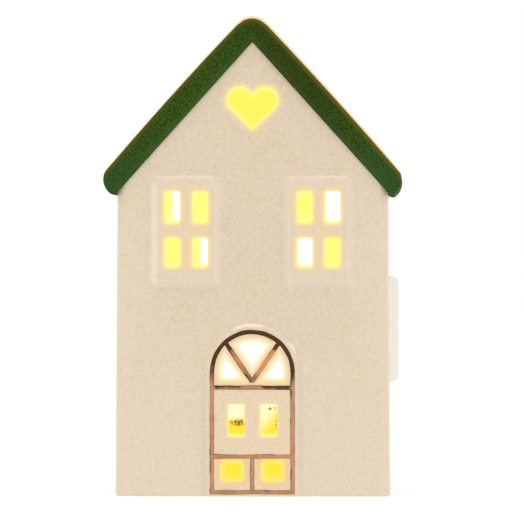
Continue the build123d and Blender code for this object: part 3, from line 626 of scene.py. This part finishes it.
def green_glaze(settings):
    """Green glaze: mottled where it is thick, paler where it runs thin, breaking on the edges, and with a
    painted highlight on the sharpest edge.
    """
    glaze = settings.glaze
    graph = Graph("green_glaze")
    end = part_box("roof")[1].y / MM
    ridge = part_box("house_shell")[1].z / MM
    pitch = glaze.roof_pitch
    above = (graph.z - ridge) * math.cos(pitch) + abs(graph.x) * math.sin(pitch)
    depth = roof_depth(graph, glaze, above, ridge)
    mottle = graph.cloud(0.6, 3.0)
    drift = (mottle - 0.5) * 2.0
    on_end = abs(graph.y).fade(end - 1.5, end - 0.5)
    pools = graph.cloud(14.0).fade(-0.1, 1.0)
    pools = pools + (mottle.fade(0.35, 0.65) - pools) * on_end
    tint = graph.blend(pools, glaze.deep_green, glaze.green)
    tint = graph.blend((above + drift).fade(2.6, 0.2) * 0.6, tint, glaze.thin_green)

    # The glaze runs down, cool where it gathers over the eaves, and dries there to a dull skin.
    over_eave = graph.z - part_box("roof")[0].z / MM
    run_down = over_eave.fade(24.0, 4.0) * 0.55
    dry = over_eave.fade(20.0, 5.0) * 0.75
    specks = graph.cloud(0.8).fade(0.5, 0.7) * 0.25
    tint = graph.blend(run_down.most(specks), tint, glaze.cool_green)

    # On the gable ends it turns mossy at the right and breaks to olive on the edges; a pale cream line on
    # the sharpest edge, wider on the right, is a painted highlight.
    right = graph.x.fade(-14.0, 8.0)
    tint = graph.blend(right * graph.x.fade(40.0, 18.0) * on_end * 0.5, tint, glaze.moss)
    rim = right * (glaze.rim_highlight_spread / MM) + glaze.rim_highlight_width / MM
    breaking = (depth + drift * 0.3).fade(rim + 1.7, rim) * (right * 0.5 + 0.45)
    tint = graph.blend(breaking * on_end, tint, glaze.olive)
    pale_light = (depth + drift * 0.1).fade(rim, rim * 0.4)
    tint = graph.blend(pale_light * on_end, tint, glaze.rim)
    graph.bump(graph.cloud(9.0), 0.16)
    gloss = graph.cloud(5.0) * 0.16 + dry + 0.06
    return graph.made(base_color=tint, roughness=gloss, specular_ior_level=0.08)


# Lit films


def film_finish(name, light, tint):
    """A film whose light has the tint of a function of its graph."""
    graph = Graph(name)
    return graph.made(
        base_color=(0.02, 0.02, 0.015),
        roughness=0.6,
        specular_ior_level=0.0,
        emission_color=tint(graph),
        emission_strength=light.strength,
    )


def pane_tint(graph, across, up, settings):
    """Yellow panes, paler along their edges and towards their foot."""
    light = settings.light
    edge = pane_distance(graph, across, up, settings.openings).fade(-1.6, 0.3)
    foot = in_pane(across, up, settings.openings)[1].fade(1.0, -5.0) * 0.4
    return graph.blend(edge.most(foot), light.yellow, light.pale)


def window_film(name, settings, shift, rising):
    """Yellow panes, two of them with a printed cell out of register, so that bare white light shows."""
    openings = settings.openings
    centre = window_middle(name, openings)

    def tint(graph):
        across = graph.x - centre.x
        up = graph.z - centre.z
        beside, above, height = in_pane(across, up, openings)
        size = (openings.pane_width / MM, height, openings.pane_corner / MM)
        pale_light = rounded_box(graph, beside - shift[0], above - shift[1], *size).fade(1.1, -0.9)
        crossed = (across * up * rising).fade(-0.01, 0.01)
        return graph.blend(pale_light * crossed, pane_tint(graph, across, up, settings), settings.light.white)

    return film_finish(name, settings.light, tint)


def side_window_film(settings):
    """Yellow panes in the side walls."""
    centre = window_middle("right_side_window_film", settings.openings)
    return film_finish(
        "side_window_film",
        settings.light,
        lambda graph: pane_tint(graph, graph.y, graph.z - centre.z, settings),
    )


def edged_film(name, settings, distance, fall, inside, rim):
    """One tint in an opening, turning into another along its edge."""

    def tint(graph):
        return graph.blend(distance(graph, settings.openings).fade(*fall), inside, rim)

    return film_finish(name, settings.light, tint)


def door_pane_film(settings):
    """Straw and gold light, a pale sill, and painted shadows of the lamp's wires and base behind the film.
    """
    light = settings.light
    openings = settings.openings
    centre = middle("door_pane_film")
    foot = -openings.door_pane_height / 2 / MM

    def tint(graph):
        up = graph.z - centre.z
        right = graph.x.fade(-0.01, 0.01)
        across = abs(graph.x) - (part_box("door_pane_film")[1].x - openings.film_margin) / MM
        across = across + openings.door_pane_width / 2 / MM
        drift = (graph.cloud(2.0) - 0.5) * 3.0
        low = (up + drift).fade(1.6, -1.0)
        low_right = (up * 0.6 - across * 0.7 + drift).fade(2.2, -2.0)
        shade = graph.blend(low + (low_right - low) * right, light.straw, light.gold)
        shade = graph.blend(up.fade(foot + 0.9, foot + 0.5), shade, light.pale)

        def spot(place, squeeze, outer, inner):
            """1 about a place on the film, and 0 from the outer distance on."""
            beside = (graph.x - place[0]) * squeeze[0]
            return graph.reach(beside, (up - place[1]) * squeeze[1]).fade(outer, inner)

        # Painted shadows: dark specks stand for wires and a lamp base behind the film.
        cluster = spot((-4.9, -0.7), (0.45, 1.0), 1.6, 0.5)
        wire_shadow = spot((6.2, 3.6), (0.4, 1.0), 0.8, 0.3)
        side_shadow = spot((7.5, -0.6), (1.6, 0.25), 0.7, 0.3)
        lamp_base_shadow = spot((-3.9, -0.9), (0.7, 1.0), 1.3, 0.5)
        wire_shadows = cluster.most(wire_shadow, side_shadow) * graph.cloud(1.0).fade(0.46, 0.56)
        shade = graph.blend(wire_shadows, shade, light.shade)
        return graph.blend(lamp_base_shadow * graph.cloud(0.9, 1.0).fade(0.48, 0.56), shade, light.lamp_base_shade)

    return film_finish("door_pane_film", light, tint)


# Lustre lines


def lustre_finish(settings):
    """Metal lustre in brush streaks: umber over the fanlight as a painted reflection of dark surroundings,
    thin and rosy below.
    """
    lustre = settings.lustre
    graph = Graph("copper_lustre")
    follow = graph.node("ShaderNodeUVMap", uv_map="stroke")
    parts = graph.node("ShaderNodeSeparateXYZ", follow.outputs["UV"])
    side = Field(graph, parts.outputs["Y"])
    streaks = graph.cloud(1.0, 3.0, (5.0, 0.35, 1.0), follow.outputs["UV"])
    patches = graph.cloud(5.0)
    tint = graph.blend(patches.fade(0.42, 0.6), lustre.tan, lustre.copper)
    tint = graph.blend(graph.cloud(6.5).fade(0.5, 0.62), tint, lustre.rose)

    # The slanting bars are amber about their middles, the right one more.
    bar_out = 4.4
    bar_up = 43.0
    bars = graph.reach((abs(graph.x) - bar_out) * 0.8, graph.z - bar_up).fade(5.6, 3.4)
    bars = bars * (graph.x.fade(-0.5, 0.5) * 0.4 + 0.6)
    tint = graph.blend(bars, tint, lustre.amber)

    # The arch is painted umber as a painted reflection of dark surroundings; the lustre lies thick on both
    # halves of the rail under it and along the strokes' edges.
    spring = settings.openings.spring_height / MM
    high = graph.z.fade(spring - 6.0, spring + 1.0)
    edge = abs(side).fade(0.5, 1.0) * 0.2 + side.fade(-0.2, 0.6) * patches.fade(0.4, 0.55) * 0.3
    rail = (settings.openings.fan_point - lustre.rail_drop) / MM
    on_rail = abs(graph.x).fade(2.0, 4.0) * abs(graph.x).fade(12.4, 11.4)
    on_rail = abs(graph.z - rail - 0.2).fade(0.9, 0.5) * on_rail
    dark_share = high * (1.0 - bars * 0.75) + on_rail * 0.5 + edge
    dark_share = dark_share + (streaks - 0.5) * 1.1 + (patches - 0.5) * 1.5
    tint = graph.blend(dark_share.fade(0.25, 0.85) * 0.95, tint, lustre.umber)
    graph.bump(streaks, 0.06)
    roughness = streaks * 0.3 + 0.25
    return graph.made(base_color=tint, metallic=0.35, roughness=roughness, specular_ior_level=0.1)


def brush_stroke(bm, along, length, lustre, seed):
    """One brushed line; along gives the place and the sideways direction at a share of its length."""
    made = bmesh.ops.create_grid(bm, x_segments=48, y_segments=6, size=0.5)
    stroke = bm.loops.layers.uv.verify()
    shares = {vert: (vert.co.x + 0.5, vert.co.y * 2) for vert in made["verts"]}
    for vert, (run, side) in shares.items():
        for loop in vert.link_loops:
            loop[stroke].uv = (run * length / MM + seed * 10, side)
        point, sideways = along(run)
        wander = noise.noise(point / MM * 0.25 + Vector((seed, 0, 0))) * lustre.wander
        swell = 1 + 0.2 * noise.noise(point / MM * 0.35 + Vector((0, seed, 0)))
        crown = lustre.thickness * (1 - 0.75 * side**4)
        vert.co = point + sideways * (wander + side * lustre.width / 2 * swell)
        vert.co.y -= crown


def lustre_lines(settings):
    """The brushed lines of the door, as one piece lying on the raised door."""
    lustre = settings.lustre
    openings = settings.openings
    low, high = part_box("door_lustre")
    face = high.y
    half = lustre.width / 2
    radius = openings.door_radius - half
    spring = openings.spring_height
    rail = openings.fan_point - lustre.rail_drop
    foot = low.z + half
    lock = lustre.lock_rail

    def straight(start, end):
        start = Vector((start[0], face, start[1]))
        end = Vector((end[0], face, end[1]))
        sideways = (end - start).cross(Vector((0, 1, 0))).normalized()
        return lambda run: (start.lerp(end, run), sideways), (end - start).length

    def arch(run):
        angle = math.pi * (1 - run)
        out = Vector((math.cos(angle), 0, math.sin(angle)))
        return Vector((0, face, spring)) + out * radius, out

    lean = openings.fan_spread / 2
    rise = openings.fan_point - spring
    slant = math.cos(lean) * rise
    run = -slant + math.sqrt(slant**2 + radius**2 - rise**2)
    lines = [
        (arch, math.pi * radius),
        straight((-radius, foot), (-radius, spring)),
        straight((radius, foot), (radius, spring)),
        straight((-radius, rail), (radius, rail)),
        straight((-radius, lock), (radius, lock)),
        straight((-radius - half, foot), (radius + half, foot)),
        straight((0, foot), (0, lock)),
    ]
    for side in (-1, 1):
        end = (side * math.sin(lean) * run, openings.fan_point + math.cos(lean) * run)
        lines.append(straight((0, openings.fan_point), end))
    bm = bmesh.new()
    for seed, (line, length) in enumerate(lines):
        brush_stroke(bm, line, length, lustre, seed * 7.3)
    bmesh.ops.recalc_face_normals(bm, faces=bm.faces)
    for sheet in bm.faces:
        if sheet.normal.y > 0:
            sheet.normal_flip()
        sheet.smooth = True
    piece = new_piece("door_brush_lines", bm, lustre_finish(settings))
    piece.data.uv_layers[0].name = "stroke"
    thickness = piece.modifiers.new("thickness", "SOLIDIFY")
    thickness.thickness = lustre.thickness / 2
    thickness.offset = -1
    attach(piece, "house")
    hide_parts("door_lustre")


def new_piece(name, bm, material):
    """A finished mesh as an object at the origin."""
    mesh = bpy.data.meshes.new(name)
    bm.to_mesh(mesh)
    bm.free()
    mesh.materials.append(material)
    piece = bpy.data.objects.new(name, mesh)
    bpy.context.scene.collection.objects.link(piece)
    return piece


# Light unit


def moulded(name, base, roughness, grain):
    """Moulded plastic with a fine spark-eroded grain."""
    graph = Graph(name)
    shade = graph.blend(graph.cloud(18.0).fade(0.4, 0.8) * 0.12, base, [c * 0.82 for c in base])
    graph.bump(graph.cloud(grain), 0.04)
    return graph.made(base_color=shade, roughness=graph.cloud(3.0) * 0.16 + roughness)


def plated(name, base):
    """Plated steel with faint drawing marks."""
    graph = Graph(name)
    marks = graph.cloud(0.6, 2.0, (8.0, 1.0, 1.0))
    shade = graph.blend(marks.fade(0.35, 0.7) * 0.25, base, [c * 0.6 for c in base])
    graph.bump(marks, 0.01)
    return graph.made(base_color=shade, metallic=1.0, roughness=marks * 0.2 + 0.2)


def cell_finish(unit):
    """A cell's printed sleeve, its ring, and the steel of its two ends."""
    graph = Graph("cell_sleeve")
    low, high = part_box("front_cell")
    run = (high.x - low.x) / MM
    along = graph.x - low.x / MM
    ends = along.fade(1.0, 0.8).most(along.fade(run - 1.6, run - 1.4))
    band = along.fade(run - 8.0, run - 7.9) * along.fade(run - 4.9, run - 5.0)
    tint = graph.blend(band, unit.sleeve, unit.sleeve_band)
    tint = graph.blend(ends, tint, unit.steel)
    graph.bump(graph.cloud(4.0), 0.03)
    return graph.made(base_color=tint, metallic=ends * 0.9, roughness=graph.cloud(2.0) * 0.15 + 0.22)


def board_finish(unit):
    """Solder mask over copper runs and a glass weave."""
    graph = Graph("circuit_board")
    runs = graph.math("PINGPONG", graph.y + (graph.cloud(9.0, 0.0) - 0.5) * 2.0, 1.4)
    tint = graph.blend(runs.fade(0.75, 0.85), unit.board, unit.trace)
    weave = graph.math("PINGPONG", graph.x, 0.5) + graph.math("PINGPONG", graph.y, 0.5)
    graph.bump(weave + runs.fade(0.75, 0.85), 0.03)
    return graph.made(base_color=tint, roughness=graph.cloud(3.0) * 0.1 + 0.3)


def epoxy_finish(unit):
    """Warm lamp bodies, brightest towards their domes."""
    graph = Graph("led_epoxy")
    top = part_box("light_leds")[1].z / MM
    dome = graph.z.fade(top - 4.5, top)
    tint = graph.blend(dome, [c * 0.45 for c in unit.epoxy], unit.epoxy)
    return graph.made(base_color=unit.epoxy, roughness=0.15, emission_color=tint, emission_strength=1.0)


def lead_finish(name, base):
    """Soft insulation with a faint waxy bloom."""
    graph = Graph(name)
    bloom = graph.cloud(2.0)
    tint = graph.blend(bloom.fade(0.45, 0.8) * 0.2, base, [min(1.0, c + 0.12) for c in base])
    graph.bump(bloom, 0.02)
    return graph.made(base_color=tint, roughness=bloom * 0.2 + 0.35)


def chip_finish(unit):
    """A chip resistor: a dark body between two tinned ends."""
    graph = Graph("chip_resistor")
    low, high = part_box("chip_resistor")
    half = (high.x - low.x) / 2 / MM
    off = abs(graph.x - middle("chip_resistor").x)
    ends = off.fade(half - 0.55, half - 0.5)
    tint = graph.blend(ends, unit.black, unit.steel)
    return graph.made(base_color=tint, metallic=ends, roughness=graph.cloud(0.8) * 0.3 + 0.2)


def silicone_finish(unit):
    """Clear soft pads with a slight haze."""
    graph = Graph("clear_silicone")
    haze = graph.cloud(2.0)
    tint = graph.blend(haze.fade(0.3, 0.8) * 0.4, unit.silicone, [c * 0.8 for c in unit.silicone])
    graph.bump(haze, 0.02)
    return graph.made(base_color=tint, roughness=haze * 0.3 + 0.25, transmission_weight=0.35, ior=1.41)


def finish(material, *nodes):
    """Gives CAD nodes a material in place of their plain one."""
    for name in nodes:
        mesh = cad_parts[name].data
        mesh.materials.clear()
        mesh.materials.append(material)


# Operators


class VILLAGE_OT_ceramic(bpy.types.Operator):
    """Glaze the walls and the roof"""

    bl_idname = "village.ceramic"
    bl_label = "Glaze the Ceramic"

    def execute(self, context):
        settings = context.scene.village_house
        finish(cream_glaze(settings), "house_shell")
        finish(green_glaze(settings), "roof")
        return {"FINISHED"}


class VILLAGE_OT_lustre(bpy.types.Operator):
    """Brush the lustre lines on the door"""

    bl_idname = "village.lustre"
    bl_label = "Brush the Lustre Lines"

    def execute(self, context):
        lustre_lines(context.scene.village_house)
        return {"FINISHED"}


class VILLAGE_OT_films(bpy.types.Operator):
    """Light the films behind the openings"""

    bl_idname = "village.films"
    bl_label = "Light the Films"

    def execute(self, context):
        settings = context.scene.village_house
        finish(window_film("left_window_film", settings, (2.6, 1.0), -1.0), "left_window_film")
        finish(window_film("right_window_film", settings, (0.5, 0.8), 1.0), "right_window_film")
        finish(side_window_film(settings), "left_side_window_film", "right_side_window_film")
        finish(door_pane_film(settings), "door_pane_film")
        light = settings.light
        edged = (
            ("heart_film", heart_distance, (-1.8, 0.4), light.heart, light.pale),
            ("fanlight_film", fan_distance, (-0.6, 0.6), light.white, light.cream),
            ("door_panel_film", panel_distance, (-2.1, 0.5), light.gold, light.amber),
        )
        for name, *look in edged:
            finish(edged_film(name, settings, *look), name)
        return {"FINISHED"}


class VILLAGE_OT_light_unit(bpy.types.Operator):
    """Finish the housing, its cover, switch, cells and lamps"""

    bl_idname = "village.light_unit"
    bl_label = "Finish the Light Unit"

    def execute(self, context):
        unit = context.scene.village_house.unit
        finish(moulded("white_plastic", unit.plastic, 0.32, 0.35), "unit_housing", "battery_door")
        finish(moulded("black_plastic", unit.knob, 0.35, 0.2), "switch_knob")
        steel = plated("plated_steel", unit.steel)
        springs = ("front_cell_spring", "rear_cell_spring")
        contacts = ("negative_terminal", "positive_terminal", "cell_bridge")
        finish(steel, *springs, *contacts, "hinge_pin", "switch_body", "board_screws")
        finish(cell_finish(unit), "front_cell", "rear_cell")
        finish(silicone_finish(unit), "base_pads")
        finish(board_finish(unit), "light_board")
        finish(epoxy_finish(unit), "light_leds")
        finish(chip_finish(unit), "chip_resistor")
        finish(lead_finish("red_insulation", unit.red), "red_lead")
        finish(lead_finish("black_insulation", unit.black), "black_lead", "link_lead")
        return {"FINISHED"}


class VILLAGE_OT_stage(bpy.types.Operator):
    """Lay the floor, hang the lamps and stand the camera"""

    bl_idname = "village.stage"
    bl_label = "Set the Stage"

    def execute(self, context):
        stage = context.scene.village_house.stage
        lay_floor(stage)
        light_room(context.scene, stage)
        for name in ("key", "fill"):
            hang_lamp(stage, name)
        stand_camera(context.scene, stage)
        context.scene.view_settings.view_transform = "Standard"
        return {"FINISHED"}


# Stage


def shows_backdrop(nodes):
    """1 for rays that show the background: from the camera, or seen in gloss or through glass."""
    path = nodes.node("ShaderNodeLightPath").outputs
    shown = Field(nodes, path["Is Camera Ray"])
    return shown.most(path["Is Glossy Ray"], path["Is Transmission Ray"])


def lay_floor(stage):
    """A pale floor that shows white with the object's shadow, and lets the room's light up from below."""
    material = bpy.data.materials.new("pale_floor")
    nodes = Nodes(material)
    pale = nodes.node("ShaderNodeBsdfDiffuse", stage.floor).outputs[0]
    lit = nodes.node("ShaderNodeEmission", WHITE, stage.floor_light).outputs[0]
    white = nodes.node("ShaderNodeAddShader", pale, lit).outputs[0]
    below = nodes.node("ShaderNodeNewGeometry").outputs["Backfacing"]
    from_above = (shows_backdrop(nodes) - below).most(0.0)
    clear = nodes.node("ShaderNodeBsdfTransparent").outputs[0]
    surface = nodes.node("ShaderNodeMixShader", from_above, clear, white).outputs[0]
    nodes.node("ShaderNodeOutputMaterial", surface)

    bm = bmesh.new()
    place_under = Matrix.Translation((0.0, 0.0, -stage.floor_drop))
    bmesh.ops.create_grid(bm, x_segments=1, y_segments=1, size=stage.floor_size, matrix=place_under)
    new_piece("floor", bm, material)


def light_room(scene, stage):
    """Even white light all round, shown as plain white."""
    world = bpy.data.worlds.new("white_room")
    nodes = Nodes(world)
    shown = shows_backdrop(nodes)
    strength = shown * (1.0 - stage.ambient) + stage.ambient
    room = nodes.node("ShaderNodeBackground", WHITE, strength).outputs[0]
    nodes.node("ShaderNodeOutputWorld", room)
    scene.world = world


def aim(thing, target):
    """Turns a lamp or camera to look at a point."""
    way = Vector(target) - thing.location
    thing.rotation_euler = way.to_track_quat("-Z", "Y").to_euler()


def hang_lamp(stage, name):
    """A lamp at its place, turned to its aim."""
    lamp = bpy.data.lights.new(f"{name}_lamp", "AREA")
    lamp.shape = "RECTANGLE"
    lamp.energy = getattr(stage, f"{name}_power")
    lamp.size = getattr(stage, f"{name}_width")
    lamp.size_y = getattr(stage, f"{name}_height")
    thing = bpy.data.objects.new(f"{name}_lamp", lamp)
    thing.location = getattr(stage, f"{name}_place")
    aim(thing, getattr(stage, f"{name}_aim"))
    bpy.context.scene.collection.objects.link(thing)


def stand_camera(scene, stage):
    """A long lens in front of the house, a little to its right."""
    camera = bpy.data.cameras.new("camera")
    thing = bpy.data.objects.new("camera", camera)
    thing.location = stage.camera_place
    aim(thing, stage.camera_aim)
    away = (Vector(stage.camera_aim) - thing.location).length
    camera.sensor_width = 36.0
    camera.lens = camera.sensor_width * away / stage.view_width
    camera.clip_end = 100.0
    scene.collection.objects.link(thing)
    scene.camera = thing


# Sidebar and registration


class VILLAGE_PT_sidebar(bpy.types.Panel):
    """The steps that dress the village house"""

    bl_idname = "VILLAGE_PT_sidebar"
    bl_label = "Village House"
    bl_space_type = "VIEW_3D"
    bl_region_type = "UI"
    bl_category = "Village House"

    def draw(self, context):
        for operator in OPERATORS:
            self.layout.operator(operator.bl_idname)


SETTINGS = (
    OpeningSettings,
    GlazeSettings,
    LustreSettings,
    LightSettings,
    UnitSettings,
    StageSettings,
    HouseSettings,
)
OPERATORS = (
    VILLAGE_OT_ceramic,
    VILLAGE_OT_lustre,
    VILLAGE_OT_films,
    VILLAGE_OT_light_unit,
    VILLAGE_OT_stage,
)


def register():
    for cls in (*SETTINGS, *OPERATORS, VILLAGE_PT_sidebar):
        bpy.utils.register_class(cls)
    bpy.types.Scene.village_house = PointerProperty(type=HouseSettings)


def unregister():
    del bpy.types.Scene.village_house
    for cls in reversed((*SETTINGS, *OPERATORS, VILLAGE_PT_sidebar)):
        bpy.utils.unregister_class(cls)


def main():
    register()
    bpy.ops.village.ceramic()
    bpy.ops.village.lustre()
    bpy.ops.village.films()
    bpy.ops.village.light_unit()
    bpy.ops.village.stage()


if __name__ == "__main__":
    main()
